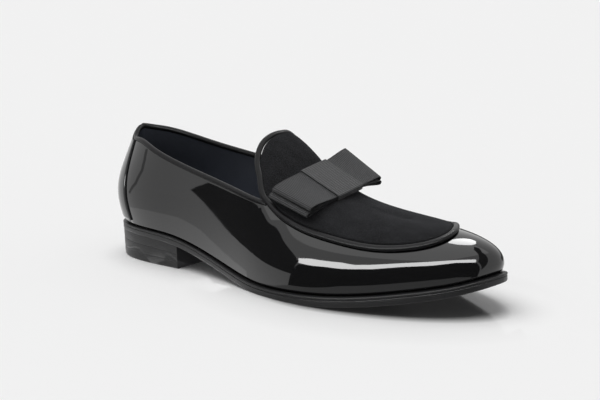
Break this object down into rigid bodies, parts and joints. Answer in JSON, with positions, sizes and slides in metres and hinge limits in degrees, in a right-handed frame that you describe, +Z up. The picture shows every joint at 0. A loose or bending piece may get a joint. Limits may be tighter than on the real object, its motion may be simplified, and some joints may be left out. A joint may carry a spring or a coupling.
{
  "type": "loafer",
  "caption": "Right-foot black patent loafer with a suede plug and tongue, piped edges, flat grosgrain ribbon bow, thin sole and low stacked heel.",
  "frame": {"origin": "on the floor, under the middle of the shoe's overall box", "axes": "+X from heel to toe, +Y to the wearer's left (medial side), +Z up"},
  "size_m": [0.3062, 0.1026, 0.0966],
  "materials": {
    "patent": "black patent leather, mirror gloss",
    "suede": "black suede, matte nap",
    "binding": "black leather, satin",
    "ribbon": "black grosgrain ribbon, ribbed",
    "sole_edge": "black sole, satin edge",
    "heel_stack": "black stacked heel, satin",
    "lining": "dark blue-black lining leather, satin"
  },
  "bodies": {
    "root": {"upper": "patent", "back_strip": "patent", "vamp_plug": "suede", "plug_piping": "binding", "collar_binding": "binding", "bow_lower_loop": "ribbon", "bow_upper_loop": "ribbon", "bow_band": "ribbon", "outsole": "sole_edge", "heel": "heel_stack", "insole": "lining"}
  },
  "joints": []
}
